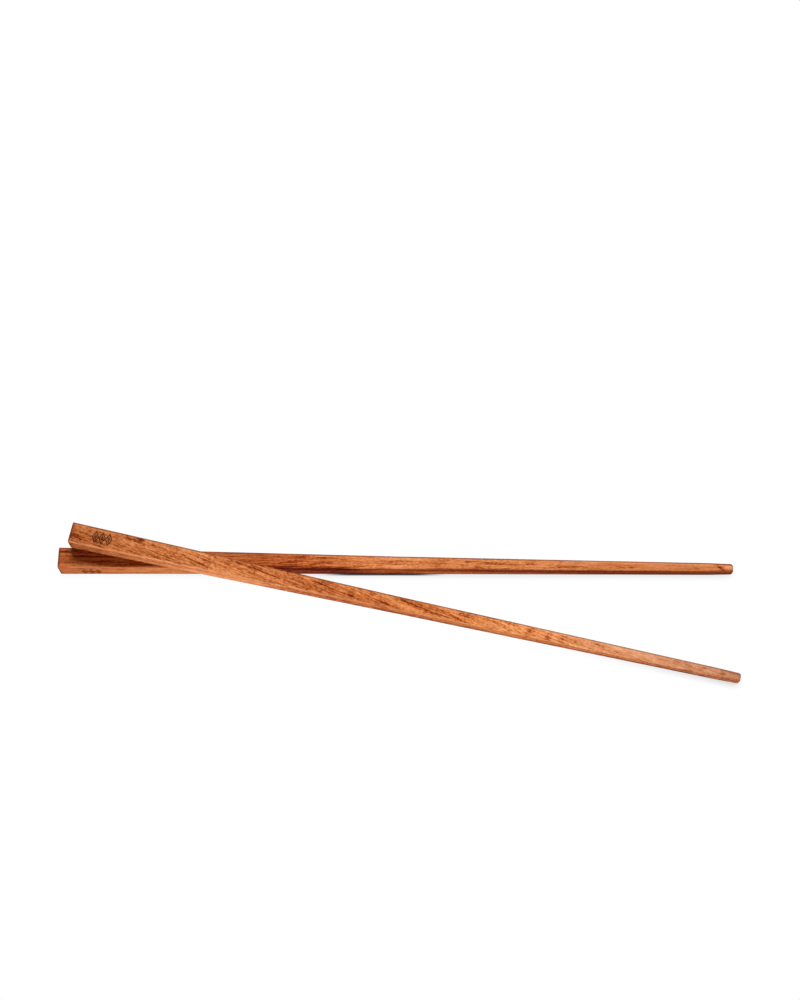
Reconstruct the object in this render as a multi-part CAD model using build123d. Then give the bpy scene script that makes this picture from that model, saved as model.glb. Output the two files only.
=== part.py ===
from build123d import *
import os
from math import cos, radians, sin

# A pair of square, tapered hardwood chopsticks, put down with one crossed over the other.
# Millimetres and degrees. The table is z = 0, and the viewer stands on the -Y side.

# One stick
stick_length = 240.0
butt_width = 7.55  # square section at the thick end
middle_width = 5.1  # square section where the taper eases, slimmer than a straight taper
tip_width = 3.4  # square section at the eating end
middle_distance = 120.0  # from the thick end to where the taper eases
edge_radius = 0.5  # rounding of the four long edges
tip_edge_radius = 1.1  # the same edges at the eating end, worn nearly round
tip_rounding_length = 9.0  # last stretch of the stick, over which they grow rounder
butt_rim_radius = 0.4  # eased rim of the flat thick end
tip_rim_radius = 1.0  # rounded rim of the eating end

# How the pair lies
lower_crossing = 54.0  # along the lower stick, from its thick end to the crossing
upper_crossing = 50.0  # along the upper stick, from its thick end to the crossing
crossing_angle = 12.0  # between the two sticks
contact_clearance = 0.02  # left where the sticks meet, and under the raised stick's tip

# Search for the lean of the upper stick
steepest_lean = 45.0
halvings = 40


def section(distance, width, radius):
    """Rounded square across the stick, with its underside at z = 0."""
    return Plane.YZ.offset(distance) * Pos(0, width / 2) * RectangleRounded(width, width, radius)


def sections():
    """The sections that shape a stick, from its thick end to its eating end."""
    rounding_share = tip_rounding_length / (stick_length - middle_distance)
    rounding_width = tip_width + (middle_width - tip_width) * rounding_share
    return [
        section(0, butt_width, edge_radius),
        section(middle_distance, middle_width, edge_radius),
        section(stick_length - tip_rounding_length, rounding_width, edge_radius),
        section(stick_length, tip_width, tip_edge_radius),
    ]


def chopstick():
    """One stick along +X: true flats, rounded long edges that grow rounder at the tip, and two eased ends."""
    outlines = sections()
    faces = [outlines[0].face(), outlines[-1].face()]
    for near, far in zip(outlines, outlines[1:]):
        for thick, thin in zip(near.wire().edges(), far.wire().edges()):
            if thick.geom_type == GeomType.LINE:
                flat = Wire.make_polygon([thick @ 0, thick @ 1, thin @ 1, thin @ 0])
                faces.append(Face(flat))
            else:
                faces.append(Face.make_surface_from_curves(thick, thin))
    stick = Solid(Shell(faces))
    stick = fillet(stick.faces().sort_by(Axis.X)[0].edges(), butt_rim_radius)
    return fillet(stick.faces().sort_by(Axis.X)[-1].edges(), tip_rim_radius)


def upper_underside(lean):
    """Plane of the upper stick's underside, laid on the lower stick's near upper edge.

    That edge is rounded about a straight line from the thick end to the middle. The plane touches the rounding
    along one line, and the lean turns the plane about the edge, down towards the viewer.
    """
    butt_center = Vector(0, edge_radius - butt_width / 2, butt_width - edge_radius)
    middle_center = Vector(middle_distance, edge_radius - middle_width / 2, middle_width - edge_radius)
    edge = middle_center - butt_center
    along = edge.normalized()
    to_viewer = along.cross(Vector(0, 0, 1)).normalized()
    upright = to_viewer.cross(along)

    normal = upright * cos(radians(lean)) + to_viewer * sin(radians(lean))
    downhill = along.cross(normal)
    turn = radians(crossing_angle)
    stick_axis = along * cos(turn) + downhill * sin(turn)

    crossing = butt_center + edge * (lower_crossing / middle_distance)
    crossing += normal * (edge_radius + contact_clearance)
    return Plane(crossing - stick_axis * upper_crossing, x_dir=stick_axis, z_dir=normal)


def tip_height(underside):
    """Height above the table of the lowest corner of the eating end, for a stick laid in a plane."""
    corner_center = Vector(
        stick_length - tip_rim_radius,
        tip_edge_radius - tip_width / 2,
        tip_edge_radius,
    )
    return underside.from_local_coords(corner_center).Z - tip_edge_radius


def resting_underside():
    """The upper stick's underside, leaned until its eating end comes down on the table."""
    shallow, steep = 0.0, steepest_lean
    for _ in range(halvings):
        middle = (shallow + steep) / 2
        if tip_height(upper_underside(middle)) > contact_clearance:
            shallow = middle
        else:
            steep = middle
    return upper_underside(shallow)


lower_chopstick = chopstick()
upper_chopstick = resting_underside().location * chopstick()

# The origin is under the middle of the pair, on the table.
pair_box = Compound([lower_chopstick, upper_chopstick]).bounding_box()
to_origin = Pos(-pair_box.center().X, -pair_box.center().Y, -pair_box.min.Z)

os.makedirs("parts", exist_ok=True)
export_step(to_origin * lower_chopstick, "parts/lower_chopstick.step")
export_step(to_origin * upper_chopstick, "parts/upper_chopstick.step")
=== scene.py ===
import math

import bpy
import numpy as np
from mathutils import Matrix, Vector


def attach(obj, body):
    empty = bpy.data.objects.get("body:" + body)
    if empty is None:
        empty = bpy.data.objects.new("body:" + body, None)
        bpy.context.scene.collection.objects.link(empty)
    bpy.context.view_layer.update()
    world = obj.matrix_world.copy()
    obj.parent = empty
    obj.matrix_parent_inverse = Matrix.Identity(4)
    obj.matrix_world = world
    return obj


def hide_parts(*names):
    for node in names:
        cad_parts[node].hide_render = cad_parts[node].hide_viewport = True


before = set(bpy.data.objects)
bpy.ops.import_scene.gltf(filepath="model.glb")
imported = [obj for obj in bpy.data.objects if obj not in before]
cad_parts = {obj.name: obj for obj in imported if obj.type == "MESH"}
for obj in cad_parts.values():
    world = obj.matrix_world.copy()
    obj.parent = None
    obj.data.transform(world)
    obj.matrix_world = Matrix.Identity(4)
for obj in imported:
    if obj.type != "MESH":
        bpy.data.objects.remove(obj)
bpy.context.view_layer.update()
mm = 0.001  # metres in a millimetre
print("frame loaded:", sorted(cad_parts))

# Form that both sticks share, in millimetres
stickForm = {
    "length": 240.0,
    "spots": (0.0, 120.0, 240.0),       # from the thick end
    "widths": (7.55, 5.1, 3.4),         # square section at each spot
    "edgeSpots": (0.0, 231.0, 240.0),
    "edges": (0.5, 0.5, 1.1),           # rounding of the long edges at each spot
    "leastEdge": 0.02,                  # rounding that is left within the flat ends
    "buttRim": 0.4,                     # eased rim of the thick end
    "tipRim": 1.0,                      # rounded rim of the eating end
    "rowStep": 0.4,                     # spacing of the mesh rows along the stick
    "markRowStep": 0.1,                 # finer rows under the burnt ornament
    "markMargin": 1.0,                  # how far they reach past it
    "facePoints": {"front": 20, "under": 12, "back": 12, "top": 30},
    "markedPoints": 46,                 # mesh points across the face with the ornament
    "arcPoints": 6,                     # mesh points round a long edge
    "rimRows": 7,
    "capRows": 5,
    "capInset": 0.46,                   # how far in the rows of a flat end go, as a share of its width
    "fringe": 0.1,                      # share of half a flat that wears along with its edge
    "fringeWear": 0.6,
    "endStain": 0.4,                    # stain of the thick end's middle against its rim
    "endFade": 1.6,                     # how far in from the rim its stain fades
}
outward = {"front": (-1, 0), "under": (0, -1), "back": (1, 0), "top": (0, 1)}
faceNames = list(outward)
sameWay = 0.9  # cosine past which a facet counts as facing a direction


def cadAxes(nodeName):
    # Axes of a stick read off its solid: the biggest facets of the underside and of the thick end give two
    # normals. Up is against the underside, along is against the thick end, across is up times along.
    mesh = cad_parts[nodeName].data
    points = np.empty(len(mesh.vertices) * 3)
    mesh.vertices.foreach_get("co", points)
    normals = np.empty(len(mesh.polygons) * 3)
    mesh.polygons.foreach_get("normal", normals)
    areas = np.empty(len(mesh.polygons))
    mesh.polygons.foreach_get("area", areas)
    points = points.reshape(-1, 3)
    normals = normals.reshape(-1, 3)

    def biggestFacing(direction):
        # Normal of the biggest facet that faces the direction
        facing = normals @ np.array(direction) > sameWay
        return normals[np.argmax(np.where(facing, areas, 0.0))]

    up = -biggestFacing((0, 0, -1))
    along = -biggestFacing((-1, 0, 0))
    along -= up * (along @ up)
    along /= np.linalg.norm(along)
    across = np.cross(up, along)
    sideways = points @ across
    start = along * (points @ along).min() + up * (points @ up).min()
    start += across * (sideways.max() + sideways.min()) / 2
    return start, along, across, up


def sectionProfile(form, markedFace):
    # Unit rounded square, front face first, then underside, back and top: a corner or flat point c on the
    # square from -1 to 1 and an outward normal n, so that a section of half-width h and edge radius r is
    # (h - r) c + r n. Each point keeps its face, its share s across the flat and its turn round the edge
    # that follows the flat.
    centres, normals, shares, turns, owners = [], [], [], [], []
    for i, face in enumerate(faceNames):
        n = np.array(outward[face], float)
        tangent = np.array([-n[1], n[0]])
        count = form["markedPoints"] if face == markedFace else form["facePoints"][face]
        s = np.linspace(-1, 1, count)
        turn = np.linspace(0, math.pi / 2, form["arcPoints"] + 2)[1:-1]
        centres += [n + s[:, None] * tangent, np.repeat((n + tangent)[None], len(turn), axis=0)]
        normals += [np.repeat(n[None], count, axis=0),
                    np.cos(turn)[:, None] * n + np.sin(turn)[:, None] * tangent]
        shares += [s, np.ones(len(turn))]
        turns += [np.zeros(count), turn]
        owners += [np.full(count + len(turn), i)]
    return map(np.concatenate, (centres, normals, shares, turns, owners))


# Burnt ornament: a short band of nested lozenges, in millimetres
lozengeBand = {
    "start": 7.9,            # from the thick end
    "count": 3,
    "pitch": 2.4,            # from one lozenge to the next
    "height": 4.4,           # across the stick
    "line": 0.3,             # width of a burnt line
    "nest": 0.42,            # size of the inner lozenge against the outer
    "shrink": 0.12,          # share that keeps a lozenge clear of its neighbours
    "depth": 0.1,            # how far the burn sinks in
    "soft": 0.12,            # scorched margin of a line
}


def stickRows(form):
    # Rows along the stick as pairs (x, inset): flat ends close in by the inset, and each rim is a quarter
    # circle.
    length, buttRim, tipRim = form["length"], form["buttRim"], form["tipRim"]
    quarter = np.linspace(math.pi / 2, 0, form["rimRows"])
    buttCap = np.linspace(form["widths"][0] * form["capInset"], buttRim, form["capRows"], endpoint=False)
    tipCap = np.linspace(form["widths"][-1] * form["capInset"], tipRim, form["capRows"], endpoint=False)
    markStart = lozengeBand["start"] - form["markMargin"]
    markEnd = lozengeBand["start"] + lozengeBand["pitch"] * lozengeBand["count"] + form["markMargin"]
    middle = form["spots"][1]
    spans = [(buttRim, markStart, form["rowStep"]), (markStart, markEnd, form["markRowStep"]),
             (markEnd, middle, form["rowStep"]), (middle, length - tipRim, form["rowStep"])]
    body = np.concatenate([np.linspace(a, b, int((b - a) / step) + 1)[1:] for a, b, step in spans])[:-1]
    x = np.concatenate([np.zeros_like(buttCap), buttRim * (1 - np.sin(quarter)), body,
                        length - tipRim * (1 - np.sin(quarter[::-1])), np.full_like(tipCap, length)])
    inset = np.concatenate([buttCap, buttRim * (1 - np.cos(quarter)), np.zeros_like(body),
                            tipRim * (1 - np.cos(quarter[::-1])), tipCap[::-1]])
    return x, inset


def onLength(form, inset):
    # 1 along the stick, down to 0 over the eased rim at either end
    return np.clip(1 - inset / form["buttRim"], 0, 1)


def lozengeMask(along, across):
    # Nested lozenges: the distance from a rhombus is |x| / a + |y| / b - 1, scaled to millimetres, and a
    # line is where that distance is within half a line's width of nought, fading over the scorched margin.
    band = lozengeBand
    halfLong, halfHigh = band["pitch"] / 2, band["height"] / 2
    place = (along - band["start"]) / band["pitch"]
    inside = (place > 0) & (place < band["count"])
    x = (place - np.floor(place) - 0.5) * band["pitch"]
    slope = 1 / math.hypot(1 / halfLong, 1 / halfHigh)
    mask = np.zeros(np.broadcast(x, across).shape)
    for size in (1.0, band["nest"]):
        ring = np.abs(np.abs(x) / halfLong + np.abs(across) / halfHigh - size + band["shrink"]) * slope
        mask = np.maximum(mask, np.clip((band["line"] / 2 + band["soft"] - ring) / band["soft"], 0, 1))
    return mask * inside


planing = {"waves": 5, "lengths": (14, 60), "depth": 0.025}  # slow waves of the hand finish, in mm


def planingWaves(x, seed):
    # Uneven hand finish of one face: the mean of slow waves along the stick, always cut into the wood.
    draw = np.random.default_rng(seed)
    lengths = draw.uniform(*planing["lengths"], planing["waves"])
    phases = draw.uniform(0, 2 * math.pi, planing["waves"])
    waves = np.cos(2 * math.pi * x[:, None] / lengths + phases).mean(axis=1)
    return -planing["depth"] * (0.5 + 0.5 * waves)


# Scattered streaks, in the same terms as the placed marks of a stick
hiddenFigure = {
    "count": 26,
    "seedStep": 100,
    "across": (0.05, 0.95),
    "length": (6.0, 24.0),
    "width": (0.45, 0.9),
    "turn": 1.5,
    "tone": (-0.7, 0.3),
}


def drawnMarks(stick, faceNumber):
    # Figure of a face that the picture doesn't show: streaks along the grain, scattered at random.
    draw = np.random.default_rng(stick["seed"] + hiddenFigure["seedStep"] * faceNumber)
    count = hiddenFigure["count"]
    columns = [draw.uniform(0, stickForm["length"], count)]
    columns += [draw.uniform(*hiddenFigure[key], count) for key in ("across", "length", "width")]
    columns += [draw.normal(0, hiddenFigure["turn"], count), draw.uniform(*hiddenFigure["tone"], count)]
    return np.stack(columns, axis=-1)


# Wander of a mark's line: each (mm to the side, radians per mm along it, phase per mm of its place)
markWander = [(0.07, 0.9, 7.0), (0.03, 2.3, 3.0)]
markGone = 60  # exponent past which nothing of a mark is left


def figureAndShadingTone(marks, x, across, span):
    # Each mark is a bell across its line and a flat-topped bell along it: exp(-(2v/w)^2) exp(-(2u/l)^4),
    # with u and v the place along and across the line, which wanders a little. The marks' tones add up.
    tone = np.zeros(across.shape)
    for along, share, length, width, turn, amount in marks:
        dx = x - along
        wander = sum(height * np.sin(pace * x + phase * along) for height, pace, phase in markWander)
        dy = across - (2 * share - 1) * span + wander
        c, s = math.cos(math.radians(turn)), math.sin(math.radians(turn))
        u, v = c * dx + s * dy, c * dy - s * dx
        tone += amount * np.exp(-np.minimum((2 * v / width) ** 2 + (2 * u / length) ** 4, markGone))
    return tone


def stickFaces(rows, around):
    # Quads between neighbouring rows, and a fan of triangles from the last row at either end to its pole.
    ring = np.arange(around)
    nextRing = np.roll(ring, -1)
    rowStart = np.arange(rows - 1)[:, None] * around
    a = rowStart + ring
    b = rowStart + nextRing
    quads = np.stack([a, a + around, b + around, b], axis=-1).reshape(-1, 4)
    last = (rows - 1) * around
    buttFan = np.stack([ring, nextRing, np.full(around, rows * around)], axis=-1)
    tipFan = np.stack([nextRing + last, ring + last, np.full(around, rows * around + 1)], axis=-1)
    return quads.tolist() + buttFan.tolist() + tipFan.tolist()


def edgeWear(stick, form, x, inset, share, turn, owner):
    # Masks of the handled edges: root of sin(2 turn) round an edge, and a fringe on the flats beside it.
    # The near top edge, between top and front, is rubbed bright, wear with a painted highlight, unless
    # painted shade in the stain colour covers it there. The other edges and the thick end are stained, the
    # end less towards its middle.
    onArc = np.sin(2 * turn) ** 0.5
    fringe = np.clip((np.abs(share) - (1 - form["fringe"])) / form["fringe"], 0, 1)
    onFlat = fringe ** 2 * form["fringeWear"]
    worn = np.where(turn > 0, onArc, onFlat)
    top, front = faceNames.index("top"), faceNames.index("front")
    nearEdge = (owner == top) & (share > 0) | (owner == front) & (share < 0)
    end = np.clip((form["buttRim"] * 2 - x) / form["buttRim"], 0, 1)
    end = end * (form["endStain"] + (1 - form["endStain"]) * np.exp(-(inset / form["endFade"]) ** 2))
    # Painted shade along the near edge, from place to place along the stick
    nearEdgeShade = np.interp(x, *map(list, zip(*stick["nearEdgeShade"].items())))[:, None] * nearEdge
    edgeStainAndShade = np.maximum(worn * np.where(nearEdge, nearEdgeShade, 1.0), end[:, None])
    bright = worn * nearEdge * (1 - nearEdgeShade) * onLength(form, inset)[:, None]
    return edgeStainAndShade, bright


def setAttribute(mesh, name, kind, values):
    # One value or vector for each vertex, for the material to read
    attribute = mesh.attributes.new(name, kind, "POINT")
    field = "vector" if kind == "FLOAT_VECTOR" else "value"
    attribute.data.foreach_set(field, values.astype(np.float32).ravel())


def makeStick(stick, form):
    # Square taper carried along the stick: half-width and edge radius run straight from spot to spot, the
    # flat underside stays in one plane, the hand finish and the burnt ornament are cut in along the outward
    # normal.
    centre, normal, share, turn, owner = sectionProfile(form, stick["markedFace"])
    x, inset = stickRows(form)
    fullHalf = np.interp(x, form["spots"], form["widths"]) / 2
    half = fullHalf - inset
    radius = np.maximum(np.interp(x, form["edgeSpots"], form["edges"]) - inset, form["leastEdge"])
    radius = np.minimum(radius, half)
    section = (half - radius)[:, None, None] * centre + radius[:, None, None] * normal

    across = share * (half - radius)[:, None] + turn * radius[:, None]
    cut = np.zeros(section.shape[:2])
    figureAndShading = np.zeros(section.shape[:2])
    burn = np.zeros(section.shape[:2])
    for i, face in enumerate(faceNames):
        weight = np.clip(normal @ np.array(outward[face], float), 0, 1) ** 2
        cut += planingWaves(x, stick["seed"] + i)[:, None] * weight
        mine = owner == i
        marks = stick["marks"][face] if face in stick["marks"] else drawnMarks(stick, i)
        figureAndShading[:, mine] = figureAndShadingTone(marks, x[:, None], across[:, mine], fullHalf[:, None])
        if face == stick["markedFace"]:
            onFlat = mine & (turn == 0)
            burn[:, onFlat] = lozengeMask(x[:, None], -across[:, onFlat] - stick["markOffset"])
    cut -= lozengeBand["depth"] * burn
    section = section + (cut * onLength(form, inset)[:, None])[..., None] * normal

    local = np.empty(section.shape[:2] + (3,))
    local[..., 0] = x[:, None]
    local[..., 1] = section[..., 0]
    local[..., 2] = section[..., 1] + fullHalf[:, None]
    buttPole = np.array([[0, 0, fullHalf[0]]])
    tipPole = np.array([[form["length"], 0, fullHalf[-1]]])
    local = np.concatenate([local.reshape(-1, 3), buttPole, tipPole])

    start, along, sideways, up = cadAxes(stick["node"])
    points = start + mm * (local @ np.stack([along, sideways, up]))
    rows, around = len(x), len(share)
    mesh = bpy.data.meshes.new(stick["name"])
    mesh.from_pydata(points.tolist(), [], stickFaces(rows, around))
    mesh.polygons.foreach_set("use_smooth", np.ones(len(mesh.polygons), bool))

    edgeStainAndShade, bright = edgeWear(stick, form, x, inset, share, turn, owner)
    masks = {"figureAndShading": figureAndShading, "burn": burn, "brightEdge": bright, "stainAndShadeEdge": edgeStainAndShade}
    poles = np.zeros(2)
    setAttribute(mesh, "woodPlace", "FLOAT_VECTOR", local)
    for name, values in masks.items():
        setAttribute(mesh, name, "FLOAT", np.concatenate([values.ravel(), poles]))
    piece = bpy.data.objects.new(stick["name"], mesh)
    bpy.context.scene.collection.objects.link(piece)
    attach(piece, "root")
    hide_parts(stick["node"])
    print(stick["name"], "rows", rows, "around", around, "faces", len(mesh.polygons))
    return piece


def linear(red, green, blue):
    # sRGB value from 0 to 255 to the linear colour that a node holds
    c = np.array([red, green, blue]) / 255
    c = np.where(c <= 0.04045, c / 12.92, ((c + 0.055) / 1.055) ** 2.4)
    return (*c.tolist(), 1.0)


def addNode(tree, kind, place, inputs=None, **settings):
    # One node with its settings, and its inputs by name or number: an output is linked in, a value is set
    node = tree.nodes.new(kind)
    node.location = place
    for key, value in settings.items():
        setattr(node, key, value)
    for key, value in (inputs or {}).items():
        if hasattr(value, "is_output"):
            tree.links.new(value, node.inputs[key])
        else:
            node.inputs[key].default_value = value
    return node


def mixColour(tree, place, factor, first, second, blend="MIX"):
    # Blend of two colours by a factor, through the Mix node's colour sockets
    node = addNode(tree, "ShaderNodeMix", place, {0: factor, 6: first, 7: second},
                   data_type="RGBA", blend_type=blend, clamp_factor=True)
    return node.outputs[2]


def mathNode(tree, place, operation, *values, clamp=False):
    # One step of arithmetic on one to three values
    node = addNode(tree, "ShaderNodeMath", place, dict(enumerate(values)),
                   operation=operation, use_clamp=clamp)
    return node.outputs[0]


def smoothRange(tree, place, value, low, high, toLow=0.0, toHigh=1.0):
    # Smooth step from toLow, where the value is low, to toHigh, where it is high
    node = addNode(tree, "ShaderNodeMapRange", place, {0: value, 1: low, 2: high, 3: toLow, 4: toHigh},
                   interpolation_type="SMOOTHSTEP", clamp=True)
    return node.outputs[0]


def colourRamp(tree, place, value, stops):
    # Colour at a value from 0 to 1, straight from stop to stop
    ramp = addNode(tree, "ShaderNodeValToRGB", place, {"Fac": value})
    while len(ramp.color_ramp.elements) < len(stops):
        ramp.color_ramp.elements.new(0.5)
    for stop, (position, colour) in zip(ramp.color_ramp.elements, stops):
        stop.position = position
        stop.color = colour
    return ramp.outputs["Color"]


vectorKind = "NodeSocketVector"
floatKind = "NodeSocketFloat"
colourKind = "NodeSocketColor"


def newGroup(name, inputs, outputs):
    # Empty node group, with the kind of each named input and output
    group = bpy.data.node_groups.new(name, "ShaderNodeTree")
    for label, kind in inputs.items():
        group.interface.new_socket(name=label, in_out="INPUT", socket_type=kind)
    for label, kind in outputs.items():
        group.interface.new_socket(name=label, in_out="OUTPUT", socket_type=kind)
    start = addNode(group, "NodeGroupInput", (-1200, 0))
    end = addNode(group, "NodeGroupOutput", (900, 0))
    return group, start, end


def stretched(tree, place, vector, scale):
    # A place times the scale of each axis
    return addNode(tree, "ShaderNodeMapping", place, {"Vector": vector, "Scale": scale}).outputs[0]


def noise(tree, place, vector, detail, roughness):
    # Fractal noise from 0 to 1, one cycle per unit
    settings = {"Vector": vector, "Scale": 1.0, "Detail": detail, "Roughness": roughness, "Distortion": 0.0}
    return addNode(tree, "ShaderNodeTexNoise", place, settings).outputs["Fac"]


# Stretch of each grain signal, in cycles per mm along, across and up, its detail, and how far its spread is
# widened
grainSignals = {
    "Bands": {"stretch": (0.018, 0.55, 0.55), "detail": 4.0, "spread": 3.2},
    "Fibres": {"stretch": (0.11, 1.7, 1.7), "detail": 2.5, "spread": 3.0},
    "Speckle": {"stretch": (0.9, 2.3, 2.3), "detail": 1.0, "spread": 3.0},
    "Mottle": {"stretch": (0.4, 0.22, 0.22), "detail": 2.0, "spread": 3.0},
}
grainRoughness = 0.6


def makeGrainGroup():
    # Tone of the wood about nought: slow growth bands, fibres, fine speckle and a cross mottle, each a
    # stretched noise, taken about its middle, widened, weighed and summed.
    inputs = {"Place": vectorKind, **dict.fromkeys(grainSignals, floatKind)}
    group, start, end = newGroup("hardwoodGrain", inputs, {"Tone": floatKind, "Fibre": floatKind})
    tone = 0.0
    for k, (name, signal) in enumerate(grainSignals.items()):
        y = 450 - 300 * k
        place = stretched(group, (-950, y), start.outputs["Place"], signal["stretch"])
        value = noise(group, (-750, y), place, signal["detail"], grainRoughness)
        centred = mathNode(group, (-500, y), "SUBTRACT", value, 0.5)
        wide = mathNode(group, (-330, y), "MULTIPLY", centred, signal["spread"])
        weighed = mathNode(group, (-160, y), "MULTIPLY", wide, start.outputs[name])
        tone = mathNode(group, (50 + 170 * k, 200), "ADD", weighed, tone)
        if name == "Fibres":
            group.links.new(value, end.inputs["Fibre"])
    group.links.new(tone, end.inputs["Tone"])
    return group


# Two sizes of pore, in cycles per mm and the core's reach in a cell, and the slow noise that gathers them
poreCells = {
    "sizes": [((0.28, 1.5, 1.5), 0.34), ((0.5, 2.5, 2.5), 0.36)],
    "core": 0.4,             # share of the reach that is fully dark
    "gather": (0.06, 0.55, 0.55),
    "gatherDetail": 2.0,
    "gatherRoughness": 0.5,
    "gatherGain": 6.0,
}


def makePoreGroup():
    # Open pores: stretched cells whose cores are short dark dashes along the grain, thinned out by a slow
    # noise.
    inputs = {"Place": vectorKind, "Density": floatKind}
    group, start, end = newGroup("openPores", inputs, {"Pore": floatKind})
    place = start.outputs["Place"]
    dashes = []
    for k, (stretch, reach) in enumerate(poreCells["sizes"]):
        y = 250 - 350 * k
        cellPlace = stretched(group, (-850, y), place, stretch)
        cells = addNode(group, "ShaderNodeTexVoronoi", (-650, y),
                        {"Vector": cellPlace, "Scale": 1.0, "Randomness": 1.0}, feature="F1")
        core = reach * poreCells["core"]
        dashes.append(smoothRange(group, (-400, y), cells.outputs["Distance"], reach, core))
    either = mathNode(group, (-150, 100), "MAXIMUM", *dashes)
    gatherPlace = stretched(group, (-850, -450), place, poreCells["gather"])
    clusters = noise(group, (-650, -450), gatherPlace, poreCells["gatherDetail"],
                     poreCells["gatherRoughness"])
    limit = mathNode(group, (-400, -450), "SUBTRACT", 1.0, start.outputs["Density"])
    above = mathNode(group, (-200, -450), "SUBTRACT", clusters, limit)
    crowd = mathNode(group, (0, -450), "MULTIPLY", above, poreCells["gatherGain"], clamp=True)
    group.links.new(mathNode(group, (250, 0), "MULTIPLY", either, crowd), end.inputs["Pore"])
    return group


rubbedHighlightDashes = (0.25, 0.5)  # fibre values between which the rubbed edge and its painted highlight show


def makeEdgeGroup():
    # Handled edges: the stained edges and rims darken, with painted shade on part of the near edge, and the
    # near top edge is rubbed pale in broken dashes, wear with a painted highlight.
    inputs = {"Colour": colourKind, "StainAndShadeColour": colourKind, "RubbedHighlight": colourKind,
              "StainAndShadeAmount": floatKind, "Bright": floatKind, "Fibre": floatKind}
    group, start, end = newGroup("edgeWearAndShading", inputs, {"Colour": colourKind})
    given = start.outputs
    broken = smoothRange(group, (-600, -200), given["Fibre"], *rubbedHighlightDashes)
    dashes = mathNode(group, (-350, -200), "MULTIPLY", broken, given["Bright"])
    dark = mixColour(group, (-100, 100), given["StainAndShadeAmount"], given["Colour"], given["StainAndShadeColour"])
    group.links.new(mixColour(group, (300, 0), dashes, dark, given["RubbedHighlight"]), end.inputs["Colour"])
    return group


endGrain = {
    "pitch": 1.25,           # mm from one growth ring to the next
    "bend": 1.1,             # mm that a ring strays
    "bendScale": 0.4,        # cycles of straying per mm
    "bendDetail": 2.0,
    "bendRoughness": 0.55,
    "skin": (0.2, 0.05),     # mm from the very end, over which the rings come in
}


def makeEndGroup():
    # End grain: growth rings about the tree's heart, sin(2 pi distance / pitch), where the place along the
    # stick is at either end.
    inputs = {"Place": vectorKind, "Heart": vectorKind}
    group, start, end = newGroup("endGrain", inputs, {"Rings": floatKind})
    place = start.outputs["Place"]
    toHeart = addNode(group, "ShaderNodeVectorMath", (-900, 200), {0: place, 1: start.outputs["Heart"]},
                      operation="SUBTRACT").outputs[0]
    acrossOnly = stretched(group, (-700, 200), toHeart, (0.0, 1.0, 1.0))
    distance = addNode(group, "ShaderNodeVectorMath", (-500, 200), {0: acrossOnly}, operation="LENGTH")
    strayPlace = stretched(group, (-700, -50), place, (endGrain["bendScale"],) * 3)
    stray = noise(group, (-500, -50), strayPlace, endGrain["bendDetail"], endGrain["bendRoughness"])
    bent = mathNode(group, (-300, 100), "MULTIPLY_ADD", stray, endGrain["bend"], distance.outputs["Value"])
    phase = mathNode(group, (-120, 100), "MULTIPLY", bent, 2 * math.pi / endGrain["pitch"])
    rings = mathNode(group, (60, 100), "SINE", phase)
    halfLength = stickForm["length"] / 2
    along = addNode(group, "ShaderNodeSeparateXYZ", (-900, -300), {"Vector": place}).outputs["X"]
    fromMiddle = mathNode(group, (-700, -300), "SUBTRACT", along, halfLength)
    fromMiddle = mathNode(group, (-500, -300), "ABSOLUTE", fromMiddle)
    skin = [halfLength - depth for depth in endGrain["skin"]]
    atEnd = smoothRange(group, (-300, -300), fromMiddle, *skin)
    group.links.new(mathNode(group, (300, 0), "MULTIPLY", rings, atEnd), end.inputs["Rings"])
    return group


groups = {
    "grain": makeGrainGroup(),
    "pores": makePoreGroup(),
    "edges": makeEdgeGroup(),
    "ends": makeEndGroup(),
}
print("node groups:", sorted(groups))

# Colour of each tone against the wood's middle colour, scaled so that the lightest stays within one
toneShades = [
    (0.0, (0.22, 0.09, 0.06)), (0.25, (0.54, 0.39, 0.32)), (0.5, (1.0, 1.0, 1.0)),
    (0.75, (1.26, 1.58, 2.0)), (1.0, (1.5, 2.25, 3.2)),
]
middleTone = 0.5  # where the shade is the middle colour itself
shadeScale = 0.28

# Finish that both sticks share; each stick's own "wood" adds the rest
hardwoodFinish = {
    "calmSpan": (175, 205),      # mm along the stick, over which the grain calms towards the tip
    "calmTip": 0.55,             # what is left of it there
    "figureAndShading": 0.42,              # strength of the placed and scattered marks
    "brokenSpan": (0.35, 0.65),  # fibre values between which a mark goes from strong to weak
    "poreDark": 0.55,
    "poreColour": (104, 44, 18),
    "burnDark": 0.86,
    "burnColour": (62, 28, 20),
    "rubbedHighlight": (238, 166, 112),   # colour of the rubbed near edge and its painted highlight
    "sheen": 0.5,                # roughness of the oiled wood
    "dull": 0.7,                 # roughness in pores and burns
    "ior": 1.45,
    "specular": 0.01,
    "fibreHeight": 0.03,         # mm of relief
    "poreDepth": 0.05,
    "endRings": 0.13,            # strength of the growth rings on the ends
}


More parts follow.
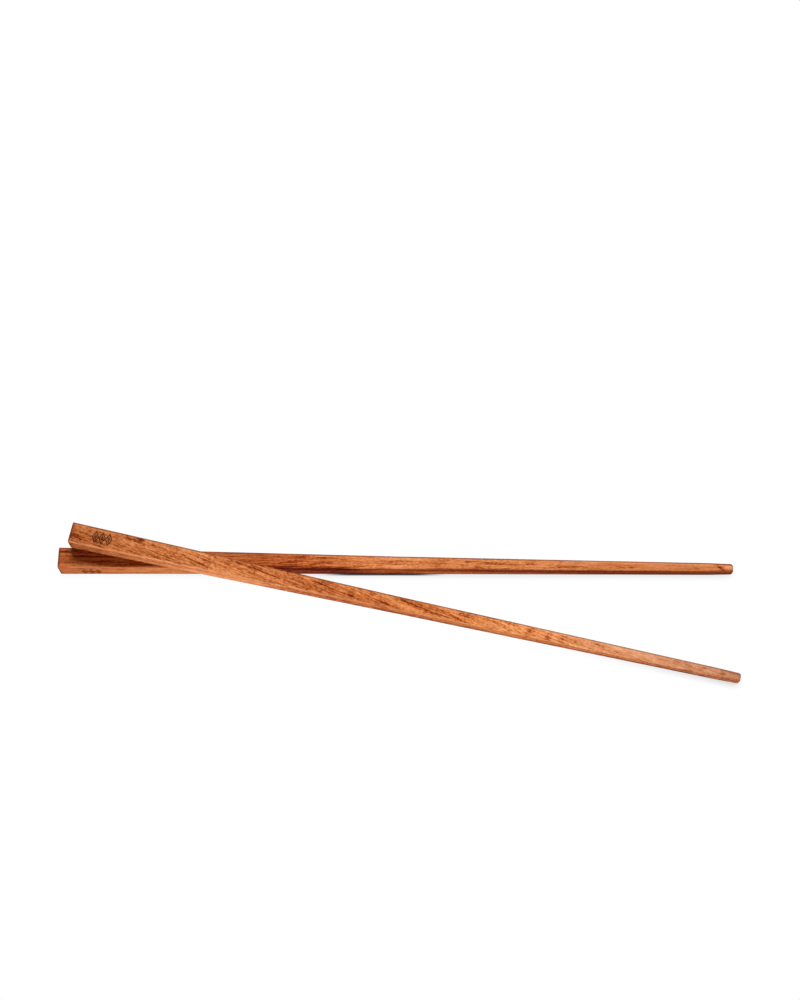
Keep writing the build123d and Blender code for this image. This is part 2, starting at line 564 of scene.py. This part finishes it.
def makeWood(stick):
    # Oiled hardwood: the middle colour at each place along the stick times the shade of the tone there,
    # then pores, handled edges and the burnt ornament, with roughness and bump from the same masks.
    look = {**hardwoodFinish, **stick["wood"]}
    material = bpy.data.materials.new(stick["name"])
    material.use_nodes = True
    tree = material.node_tree
    tree.nodes.clear()

    def read(name, y, output="Fac"):
        # What the mesh holds for each vertex under this name
        return addNode(tree, "ShaderNodeAttribute", (-2000, y), attribute_name=name).outputs[output]

    def group(name, place, inputs):
        # One of the shared node groups with its inputs
        return addNode(tree, "ShaderNodeGroup", place, inputs, node_tree=groups[name])

    woodPlace = read("woodPlace", 0, "Vector")
    figureAndShading = read("figureAndShading", -250)
    burn = read("burn", -800)
    brightEdge = read("brightEdge", -1000)
    stainAndShadeEdge = read("stainAndShadeEdge", -1200)
    grainPlace = addNode(tree, "ShaderNodeMapping", (-1700, 200),
                         {"Vector": woodPlace, "Location": stick["grainShift"],
                          "Rotation": (0, 0, math.radians(stick["grainTurn"]))}).outputs[0]
    alongStick = addNode(tree, "ShaderNodeSeparateXYZ", (-1700, -100), {"Vector": woodPlace}).outputs["X"]
    alongShare = mathNode(tree, (-1500, -100), "DIVIDE", alongStick, stickForm["length"])

    # Tone of the wood: grain, figure with painted light and shade, and end grain
    grain = group("grain", (-1350, 300), {"Place": grainPlace, **look["grain"]})
    fibre = grain.outputs["Fibre"]
    calm = smoothRange(tree, (-1350, 50), alongStick, *look["calmSpan"], 1.0, look["calmTip"])
    grainTone = mathNode(tree, (-1100, 300), "MULTIPLY", grain.outputs["Tone"], calm)
    broken = smoothRange(tree, (-1350, -250), fibre, *look["brokenSpan"],
                         1 + look["broken"], 1 - look["broken"])
    markTone = mathNode(tree, (-1100, -200), "MULTIPLY", figureAndShading, broken)
    markTone = mathNode(tree, (-950, -200), "MULTIPLY", markTone, look["figureAndShading"])
    ends = group("ends", (-1350, 600), {"Place": woodPlace, "Heart": stick["heart"]})
    ringTone = mathNode(tree, (-1100, 600), "MULTIPLY", ends.outputs["Rings"], look["endRings"])
    tone = mathNode(tree, (-800, 200), "ADD", grainTone, markTone)
    tone = mathNode(tree, (-800, 450), "ADD", tone, ringTone)
    tone = mathNode(tree, (-650, 200), "ADD", tone, middleTone, clamp=True)

    # Colour: middle colour times shade, then pores, edges and burns
    shades = [(position, (*(shadeScale * c for c in shade), 1.0)) for position, shade in toneShades]
    shade = colourRamp(tree, (-500, 300), tone, shades)
    stops = [(position / stickForm["length"], linear(*c)) for position, c in look["middle"]]
    middle = colourRamp(tree, (-500, 0), alongShare, stops)
    colour = mixColour(tree, (-200, 200), 1.0, middle, shade, "MULTIPLY")
    colour = addNode(tree, "ShaderNodeVectorMath", (0, 200), {0: colour, "Scale": 1 / shadeScale},
                     operation="SCALE").outputs[0]
    pores = group("pores", (-1350, -600), {"Place": grainPlace, "Density": look["poreDensity"]})
    thinning = smoothRange(tree, (-1350, -850), alongStick, *look["poreSpan"], 1.0, look["tipPores"])
    pore = mathNode(tree, (-1050, -650), "MULTIPLY", pores.outputs["Pore"], thinning)
    poreShare = mathNode(tree, (-850, -650), "MULTIPLY", pore, look["poreDark"])
    colour = mixColour(tree, (200, 200), poreShare, colour, linear(*look["poreColour"]))
    # Rubbed near edge with its painted highlight, fading out along the stick
    rubAndHighlight = smoothRange(tree, (-200, -1000), alongStick, *look["rubAndHighlightSpan"], look["rubAndHighlight"], 0.0)
    edges = group("edges", (450, 200), {
        "Colour": colour,
        "StainAndShadeColour": linear(*look["edgeStainAndShade"]),
        "RubbedHighlight": linear(*look["rubbedHighlight"]),
        "StainAndShadeAmount": mathNode(tree, (50, -1200), "MULTIPLY", stainAndShadeEdge, look["stainAndShadeStrength"]),
        "Bright": mathNode(tree, (50, -1000), "MULTIPLY", brightEdge, rubAndHighlight),
        "Fibre": fibre,
    })
    scorch = mathNode(tree, (450, -100), "MULTIPLY", burn, look["burnDark"])
    colour = mixColour(tree, (700, 200), scorch, edges.outputs["Colour"], linear(*look["burnColour"]))

    # Roughness and relief
    dull = mathNode(tree, (200, -300), "MAXIMUM", pore, burn)
    roughness = smoothRange(tree, (450, -300), dull, 0.0, 1.0, look["sheen"], look["dull"])
    fibreHeight = mathNode(tree, (200, -500), "MULTIPLY", fibre, look["fibreHeight"])
    poreHeight = mathNode(tree, (200, -650), "MULTIPLY", pore, -look["poreDepth"])
    height = mathNode(tree, (450, -550), "ADD", fibreHeight, poreHeight)
    bump = addNode(tree, "ShaderNodeBump", (700, -500), {"Height": height, "Distance": mm, "Strength": 1.0})
    shader = addNode(tree, "ShaderNodeBsdfPrincipled", (1000, 100),
                     {"Base Color": colour, "Roughness": roughness, "Normal": bump.outputs["Normal"],
                      "IOR": look["ior"], "Specular IOR Level": look["specular"]})
    addNode(tree, "ShaderNodeOutputMaterial", (1300, 100), {"Surface": shader.outputs["BSDF"]})
    print("material", stick["name"], "nodes", len(tree.nodes))
    return material


# Figure marks, each (along, across, length, width, turn, tone): mm from the thick end, share of the face
# from its first long edge, mm, mm, degrees towards the second edge, and tone, dark below nought and light
# above. The top face goes from the far edge to the near one, the front face from its upper edge to its
# foot. Some marks are painted light and painted shade, noted above the lines that hold them.
upperStick = {
    "name": "upperStickWood",
    "node": "upper_chopstick",
    "markedFace": "top",
    "markOffset": 0.15,          # ornament's place across the face, from its middle
    "seed": 7,
    "grainTurn": 9.5,            # degrees that the grain runs out across the top face
    "grainShift": (13.0, 4.1, 2.7),
    "heart": (0.0, 6.5, -4.0),   # middle of the growth rings that the ends show
    "nearEdgeShade": {0: 0.0},       # painted shade of the near top edge in the stain colour, from place to place along it
    "marks": {
        "top": [
            (24.2, 0.09, 3.4, 1.3, 8, -2.2), (25.6, 0.15, 1.6, 0.7, 20, -1.2),
            # (120.0, 0.08, ...) is a painted sheen along the far edge
            (120.0, 0.08, 236.0, 1.5, 0, 0.3), (1.6, 0.52, 4.0, 0.7, 14, -0.5),
            (4.5, 0.68, 13.0, 4.2, 0, -0.4), (9.0, 0.12, 14.0, 1.4, 0, 0.4),
            (18.2, 0.64, 5.0, 0.6, 8, -0.45), (30.2, 0.33, 4.2, 0.6, 17, -0.55),
            (32.0, 0.82, 6.0, 1.6, 10, -0.3), (37.8, 0.39, 1.6, 0.7, 12, -0.8),
            (43.5, 0.54, 10.0, 0.6, 14, -0.4), (48.3, 0.47, 3.4, 2.8, 0, -0.2),
            (52.0, 0.21, 1.7, 1.0, 30, -0.6), (57.5, 0.11, 9.0, 0.7, 9, -0.75),
            (68.0, 0.34, 14.0, 0.7, 11, -0.55), (57.0, 0.40, 12.0, 0.6, 13, -0.5),
            (68.5, 0.72, 14.0, 0.7, 11, -0.6), (77.0, 0.92, 6.0, 0.6, 9, -0.5),
            (63.5, 0.80, 2.2, 0.9, 0, 0.45), (56.0, 0.93, 16.0, 1.2, 0, 0.35),
            (84.0, 0.25, 6.0, 1.2, 0, 0.3), (90.8, 0.36, 8.0, 0.7, 9, -0.55),
            (93.0, 0.12, 9.0, 1.1, 0, -0.35), (101.0, 0.5, 1.6, 2.8, 10, -0.4),
            (118.0, 0.8, 17.0, 0.6, 9, -0.55), (127.6, 0.5, 21.5, 0.75, 9.3, -0.85),
            (133.8, 0.35, 9.0, 0.65, 10, -0.65), (141.6, 0.38, 3.8, 2.8, 0, -0.5),
            (141.5, 0.78, 8.0, 0.6, 2, -0.5), (122.0, 0.66, 11.0, 2.2, 4, 0.5),
            (114.0, 0.3, 5.0, 1.4, 8, 0.3), (61.0, 0.4, 12.0, 4.0, 0, -0.22),
            # (168.0, 0.95, ...) is painted light on the near edge, against its shading
            (104.0, 0.5, 14.0, 4.4, 0, -0.16), (168.0, 0.95, 70.0, 1.1, 0, 0.3),
            (165.7, 0.4, 1.8, 2.4, 0, -0.4), (171.0, 0.7, 2.2, 2.2, 0, -0.4),
            (176.6, 0.45, 1.8, 2.8, 0, -0.28), (168.3, 0.45, 2.2, 2.6, 0, 0.3),
            (174.0, 0.5, 2.2, 2.4, 0, 0.3), (162.6, 0.55, 1.8, 2.6, 0, 0.3),
            (188.3, 0.3, 1.6, 0.8, 20, -0.6), (191.5, 0.5, 5.4, 0.8, 17, -0.5),
            (196.6, 0.6, 4.0, 0.7, -14, -0.4), (196.8, 0.32, 4.6, 1.6, 14, 0.5),
            (206.0, 0.45, 8.0, 2.0, 0, 0.25), (221.5, 0.94, 3.2, 0.7, 0, -0.9),
            (227.0, 0.3, 1.4, 1.0, 0, -0.4), (233.2, 0.52, 1.8, 1.3, 0, -0.45),
            (217.0, 0.4, 2.2, 2.0, 0, -0.2),
        ],
        "front": [
            # Painted light on the front face: (66.0, ...), (165.0, ...), (56.0, ...), (44.0, ...) and
            # (140.0, ...); (164.0, 1.0, ...) is painted shade at its foot
            (66.0, 0.25, 22.0, 2.0, 0, 0.4), (165.0, 0.25, 160.0, 2.4, 0, 0.25),
            (56.0, 0.5, 34.0, 5.0, 0, 0.4), (44.0, 0.75, 54.0, 4.0, 0, 0.6),
            (140.0, 0.1, 110.0, 1.8, 0, 0.4), (164.0, 1.0, 190.0, 2.8, 0, -0.8),
            (76.0, 0.1, 13.0, 1.5, 0, -0.6), (58.5, 0.12, 9.0, 1.4, 0, -0.4),
            (91.0, 0.2, 10.0, 1.6, 0, -0.45), (63.5, 0.5, 4.0, 2.2, 0, 0.4), (69.5, 0.45, 5.0, 2.2, 0, 0.5),
            (96.0, 0.6, 5.0, 2.0, 0, 0.3), (74.0, 0.6, 7.0, 1.8, 0, -0.4), (86.0, 0.4, 9.0, 1.8, 0, -0.4),
            (101.0, 0.3, 8.0, 1.6, 0, -0.35), (112.0, 0.5, 10.0, 1.8, 0, -0.35),
            (128.0, 0.35, 12.0, 1.6, 0, -0.3), (212.0, 0.6, 40.0, 3.0, 0, -0.5),
        ],
    },
    "wood": {
        # Middle colour from place to place along the stick, mm and sRGB
        "middle": [(0, (180, 102, 54)), (45, (200, 118, 65)), (120, (205, 115, 60)), (146, (218, 130, 72)),
                   (157, (230, 146, 86)), (168, (225, 137, 78)), (190, (219, 143, 94)),
                   (220, (215, 148, 106)), (240, (194, 128, 92))],
        "grain": {"Bands": 0.2, "Fibres": 0.36, "Speckle": 0.34, "Mottle": 0.16},
        "broken": 0.5,           # how far the fibres break up the marks
        "poreDensity": 0.56,
        "poreSpan": (110, 200),  # mm along the stick, over which the pores thin out
        "tipPores": 0.25,        # what is left of them there
        "rubAndHighlightSpan": (150, 225),   # mm along the stick, over which the rubbing and its painted highlight end
        "rubAndHighlight": 0.75,
        "edgeStainAndShade": (88, 42, 24),   # colour of the stained edges and of the painted shade on the near edge
        "stainAndShadeStrength": 0.7,
    },
}

lowerStick = {
    "name": "lowerStickWood",
    "node": "lower_chopstick",
    "markedFace": "front",
    "markOffset": -0.8,
    "seed": 23,
    "grainTurn": -1.5,
    "grainShift": (71.0, -3.2, 9.4),
    "heart": (0.0, -8.0, 11.0),
    # Painted shade on the near top edge: dark where the upper stick shades it, redder towards the tip
    "nearEdgeShade": {60: 0.0, 76: 0.9, 100: 0.8, 108: 0.1, 130: 0.1, 140: 0.5},
    "marks": {
        "top": [
            (2.6, 0.24, 5.0, 0.7, 2, -0.7), (3.0, 0.64, 6.0, 0.7, -3, -0.6),
            (9.0, 0.42, 18.0, 0.6, 1, -0.6), (4.0, 0.1, 8.0, 0.6, 0, 0.7), (8.0, 0.33, 16.0, 0.5, 1, 0.7),
            (14.0, 0.56, 26.0, 0.6, 1, 0.6), (16.0, 0.7, 24.0, 0.6, 0, -0.5),
            (6.0, 0.85, 12.0, 0.7, 0, 0.4), (30.0, 0.84, 16.0, 0.6, 0, -0.6),
            (59.0, 0.28, 7.0, 0.6, 0, -0.6), (66.0, 0.6, 18.0, 0.8, 1, -0.3),
            # (88.0, 0.98, ...), (82.0, 0.82, ...), (87.0, 0.5, ...) and (104.0, 0.86, ...) are painted
            # shade from the upper stick; (104.0, 0.2, ...) and (42.0, 0.92, ...) are painted light; (165.0,
            # 0.1, ...) is a painted sheen along the far edge
            (88.0, 0.98, 38.0, 1.7, 1, -0.9), (165.0, 0.1, 140.0, 1.2, 0, 0.3),
            (82.0, 0.82, 26.0, 1.7, -2, -0.5), (87.0, 0.5, 28.0, 3.4, -2, -0.4),
            (42.0, 0.92, 24.0, 1.6, 0, 0.4), (230.0, 0.2, 16.0, 1.4, 0, 0.4),
            (104.0, 0.86, 18.0, 1.0, 0, -0.4), (104.0, 0.2, 20.0, 1.0, 0, 0.4),
            (87.0, 0.27, 20.0, 0.45, 0, -0.5), (83.0, 0.17, 12.0, 0.4, 0, -0.4),
            (92.0, 0.36, 16.0, 0.7, 0, 0.3), (103.0, 0.5, 16.0, 1.4, 0, 0.2),
            (121.0, 0.45, 13.0, 0.5, -0.8, -0.45), (123.5, 0.22, 11.0, 0.9, 0, 0.45),
            (112.1, 0.76, 0.5, 0.4, 0, 2.0), (119.0, 0.72, 12.0, 1.2, 0, 0.2),
            (148.0, 0.33, 10.0, 0.5, 2, -0.35), (157.5, 0.47, 10.0, 0.6, 4, -0.55),
            (148.8, 0.72, 3.0, 0.6, 0, -0.45), (170.0, 0.25, 12.0, 0.7, 0, 0.3),
            (178.0, 0.4, 1.6, 1.8, 0, -0.14), (183.5, 0.5, 1.6, 2.0, 0, -0.14),
            (174.5, 0.45, 1.4, 1.8, 0, -0.12), (199.0, 0.56, 2.6, 0.45, 4, -0.7),
            (204.0, 0.6, 2.4, 0.45, -4, -0.7), (212.0, 0.4, 8.0, 1.0, 0, 0.25),
            # (235.2, 0.5, ...) is painted shade and (238.2, 0.42, ...) a painted highlight on the rounded
            # tip
            (226.3, 0.5, 3.4, 0.9, 40, -0.3), (235.2, 0.5, 3.4, 0.8, 35, -1.1),
            (238.2, 0.42, 2.6, 2.0, 0, 0.8),
        ],
        "front": [
            (8.2, 0.15, 2.0, 0.8, 0, -0.5), (26.0, 0.12, 3.0, 0.7, 0, 0.5), (30.0, 0.5, 88.0, 5.6, 0, 0.75),
            (40.0, 0.2, 30.0, 0.8, 0, 0.3), (20.0, 0.75, 24.0, 0.7, 0, -0.3),
            # (88.0, 0.3, ...) is a painted shadow of the upper stick; (107.0, 0.75, ...), (107.0, 1.0, ...)
            # and (150.0, 1.0, ...) are painted shade at the foot; (231.0, 0.5, ...) is painted shade near
            # the tip; (42.0, 0.1, ...) and (126.0, 0.06, ...) are painted light
            (88.0, 0.3, 38.0, 5.0, 0, -1.3), (107.0, 0.75, 42.0, 3.6, 0, -0.8),
            (107.0, 1.0, 46.0, 2.2, 0, -1.3), (42.0, 0.1, 24.0, 1.6, 0, 0.4),
            (231.0, 0.5, 24.0, 4.0, 0, -0.6), (126.0, 0.06, 34.0, 1.8, 0, 0.7),
            (150.0, 1.0, 60.0, 2.6, 0, -0.4), (4.5, 0.2, 4.0, 2.0, 0, 0.4), (12.0, 0.25, 2.6, 1.8, 0, -0.5),
            (16.5, 0.1, 3.0, 1.6, 0, -0.5), (22.5, 0.4, 3.6, 1.8, 0, -0.4), (29.0, 0.15, 4.0, 1.8, 0, -0.5),
            (34.0, 0.5, 4.0, 2.0, 0, -0.3), (39.5, 0.25, 5.0, 1.8, 0, -0.4),
            (47.0, 0.45, 6.0, 1.8, 0, -0.35),
        ],
    },
    "wood": {
        # The darker stops at 62 and 74 mm are painted shade where the upper stick crosses
        "middle": [(0, (184, 98, 48)), (42, (190, 104, 52)), (62, (162, 86, 42)), (74, (170, 88, 43)),
                   (84, (192, 103, 52)), (120, (213, 129, 74)), (145, (206, 123, 70)),
                   (240, (205, 123, 74))],
        "grain": {"Bands": 0.2, "Fibres": 0.36, "Speckle": 0.25, "Mottle": 0.05},
        "broken": 0.25,
        "poreDensity": 0.46,
        "poreSpan": (60, 140),
        "tipPores": 0.35,
        "rubAndHighlightSpan": (125, 145),
        "rubAndHighlight": 0.4,
        # The stained edges and the painted shade on the near edge share this deep red-brown
        "edgeStainAndShade": (90, 24, 7),
        "stainAndShadeStrength": 0.8,
    },
}

for stick in (upperStick, lowerStick):
    piece = makeStick(stick, stickForm)
    piece.data.materials.append(makeWood(stick))


floorLook = {
    "size": 6.0,
    "drop": 0.00003,                    # below the table level, so that the undersides stay clear of it
    "bounce": (0.5, 0.24, 0.12, 1.0),   # colour that lights the sticks from below
    "skySamples": 16,
    "lean": (0.0, 0.8, 0.6),            # way to the sky that a stick can hide, leaning back
    "reach": 0.0028,                    # how far from a stick its contact shade shows
    "depth": 0.36,                      # how dark the contact shade gets
    "fade": 2.0,                        # how fast it clears away from the stick
    "litSpan": (-0.1, -0.02),           # stretch along the sticks, lit from the near left, where it sets in
    "litShare": 0.3,                    # what is left of the shade there
    "nearSpan": (0.0, 0.008),           # from the near stick's ground to the far stick's
    "nearShare": 1.7,                   # deeper shade in front of the near stick
    "creaseReach": 0.00075,             # narrow painted contact shadow under the lower stick's middle
    "creaseDepth": 1.5,
    "creaseFade": 1.0,
    "creaseStart": (-0.029, -0.016),    # stretch along the stick where it sets in
    "creaseEnd": (0.004, 0.02),         # and where it clears
}
white = (1, 1, 1, 1)


def makeFloor(look):
    # Pale floor: plain matt for all light, and white in reflections. To the camera it is white less two
    # shades, the contact shade and the crease: each is depth (1 - share of open sky within reach) ^ fade,
    # with a depth that changes from place to place.
    half = look["size"] / 2
    corners = np.array([(-1, -1, 0), (1, -1, 0), (1, 1, 0), (-1, 1, 0)]) * half - (0, 0, look["drop"])
    mesh = bpy.data.meshes.new("floor")
    mesh.from_pydata(corners.tolist(), [], [(0, 1, 2, 3)])
    floor = bpy.data.objects.new("floor", mesh)
    bpy.context.scene.collection.objects.link(floor)
    material = bpy.data.materials.new("paleFloor")
    material.use_nodes = True
    tree = material.node_tree
    tree.nodes.clear()
    lean = addNode(tree, "ShaderNodeCombineXYZ", (-1100, -100), dict(zip("XYZ", look["lean"]))).outputs[0]
    spot = addNode(tree, "ShaderNodeTexCoord", (-1300, -500)).outputs["Object"]
    spotParts = addNode(tree, "ShaderNodeSeparateXYZ", (-1100, -500), {"Vector": spot})
    spotX, spotY = spotParts.outputs["X"], spotParts.outputs["Y"]

    def covered(y, reach, fade):
        # (1 - share of open sky within reach) ^ fade
        openSky = addNode(tree, "ShaderNodeAmbientOcclusion", (-900, y),
                          {"Distance": reach, "Normal": lean}, samples=look["skySamples"]).outputs["AO"]
        hidden = mathNode(tree, (-720, y), "SUBTRACT", 1.0, openSky, clamp=True)
        return mathNode(tree, (-560, y), "POWER", hidden, fade)

    contact = covered(-100, look["reach"], look["fade"])
    depth = smoothRange(tree, (-900, -500), spotX, *look["litSpan"],
                        look["litShare"] * look["depth"], look["depth"])
    nearer = smoothRange(tree, (-900, -700), spotY, *look["nearSpan"], look["nearShare"], 1.0)
    contact = mathNode(tree, (-720, -500), "MULTIPLY", contact, depth)
    contact = mathNode(tree, (-720, -700), "MULTIPLY", contact, nearer)
    crease = covered(-1300, look["creaseReach"], look["creaseFade"])
    creaseStart = smoothRange(tree, (-900, -900), spotX, *look["creaseStart"], 0.0, look["creaseDepth"])
    creaseEnd = smoothRange(tree, (-900, -1100), spotX, *look["creaseEnd"], 1.0, 0.0)
    creaseDepth = mathNode(tree, (-720, -1000), "MULTIPLY", creaseStart, creaseEnd)
    crease = mathNode(tree, (-560, -1000), "MULTIPLY", crease, creaseDepth)
    missing = mathNode(tree, (-560, -700), "ADD", contact, crease)
    shade = mathNode(tree, (-560, -300), "SUBTRACT", 1.0, missing, clamp=True)

    matt = addNode(tree, "ShaderNodeBsdfDiffuse", (-400, 200), {"Color": look["bounce"]})
    reflected = addNode(tree, "ShaderNodeEmission", (-400, 50), {"Color": white, "Strength": 1.0})
    seenFloor = addNode(tree, "ShaderNodeEmission", (-400, -100), {"Color": white, "Strength": shade})
    rays = addNode(tree, "ShaderNodeLightPath", (-900, 400))
    mirrored = mathNode(tree, (-400, 400), "MAXIMUM", rays.outputs["Is Glossy Ray"],
                        rays.outputs["Is Transmission Ray"])
    shader = matt
    layers = [(mirrored, reflected), (rays.outputs["Is Camera Ray"], seenFloor)]
    for k, (seen, layer) in enumerate(layers):
        shader = addNode(tree, "ShaderNodeMixShader", (-150 + 200 * k, 0),
                         {0: seen, 1: shader.outputs[0], 2: layer.outputs[0]})
    addNode(tree, "ShaderNodeOutputMaterial", (300, 0), {"Surface": shader.outputs[0]})
    mesh.materials.append(material)
    print("floor", look["size"], "m")


makeFloor(floorLook)

lamps = {
    "backKey": {"place": (0.05, 0.6, 0.82), "aim": (0.0, 0.0, 0.0), "size": (0.8, 0.5),
                "watts": 13.4, "spread": 180.0, "colour": (1.0, 1.0, 1.0)},
    "nearFill": {"place": (-0.20, -0.13, 0.03), "aim": (-0.062, 0.01, 0.004), "size": (0.08, 0.04),
                 "watts": 0.0125, "spread": 34.0, "colour": (0.86, 1.0, 1.22)},
    "frontStrip": {"place": (0.1, -0.4, 0.01), "aim": (0.03, 0.0, 0.006), "size": (0.6, 0.016),
                   "watts": 0.9, "spread": 180.0, "colour": (1.0, 0.86, 0.72)},
}


def makeLamps(settings):
    # Rectangular soft lamps, each turned from its place to its aim and hidden from the camera
    for name, lamp in settings.items():
        data = bpy.data.lights.new(name, "AREA")
        data.shape = "RECTANGLE"
        data.size, data.size_y = lamp["size"]
        data.energy = lamp["watts"]
        data.color = lamp["colour"]
        data.spread = math.radians(lamp["spread"])
        holder = bpy.data.objects.new(name, data)
        holder.location = lamp["place"]
        beam = Vector(lamp["aim"]) - Vector(lamp["place"])
        holder.rotation_euler = beam.to_track_quat("-Z", "Y").to_euler()
        holder.visible_camera = False
        bpy.context.scene.collection.objects.link(holder)
        print("lamp", name, lamp["watts"], "W")


makeLamps(lamps)

roomLight = {"strength": 0.1, "colour": (1.0, 0.62, 0.42, 1.0)}


def makeRoom(settings):
    # Even room light on the sticks, and plain white behind the floor
    world = bpy.data.worlds.new("room")
    bpy.context.scene.world = world
    world.use_nodes = True
    tree = world.node_tree
    tree.nodes.clear()
    soft = addNode(tree, "ShaderNodeBackground", (-200, 100),
                   {"Color": settings["colour"], "Strength": settings["strength"]})
    plain = addNode(tree, "ShaderNodeBackground", (-200, -100), {"Color": white, "Strength": 1.0})
    rays = addNode(tree, "ShaderNodeLightPath", (-900, 300))
    seen = mathNode(tree, (-650, 300), "MAXIMUM", rays.outputs["Is Camera Ray"],
                    rays.outputs["Is Glossy Ray"])
    seen = mathNode(tree, (-450, 300), "MAXIMUM", seen, rays.outputs["Is Transmission Ray"])
    mix = addNode(tree, "ShaderNodeMixShader", (100, 0), {0: seen, 1: soft.outputs[0], 2: plain.outputs[0]})
    addNode(tree, "ShaderNodeOutputWorld", (300, 0), {"Surface": mix.outputs[0]})
    print("room light", settings["strength"])


makeRoom(roomLight)

photoView = {
    "target": (0.00076, 0.04169, 0.0),
    "distance": 0.63674,
    "elevation": 68.312,     # degrees down onto the table
    "turn": 0.597,           # degrees to the left of +Y
    "lens": 63.03,
    "sensor": 36.0,          # across the long side of the picture
    "nearest": 0.01,         # what is closer than this isn't drawn
}


def makeCamera(view):
    # The camera stands back from its target by the distance, against the direction that it looks in.
    down, turn = math.radians(view["elevation"]), math.radians(view["turn"])
    look = Vector((-math.sin(turn) * math.cos(down), math.cos(turn) * math.cos(down), -math.sin(down)))
    data = bpy.data.cameras.new("photoView")
    data.lens = view["lens"]
    data.sensor_width = view["sensor"]
    data.clip_start = view["nearest"]
    camera = bpy.data.objects.new("photoView", data)
    camera.location = Vector(view["target"]) - look * view["distance"]
    camera.rotation_euler = look.to_track_quat("-Z", "Y").to_euler()
    bpy.context.scene.collection.objects.link(camera)
    bpy.context.scene.camera = camera


makeCamera(photoView)
bpy.context.scene.view_settings.view_transform = "Standard"
print("camera and light set")
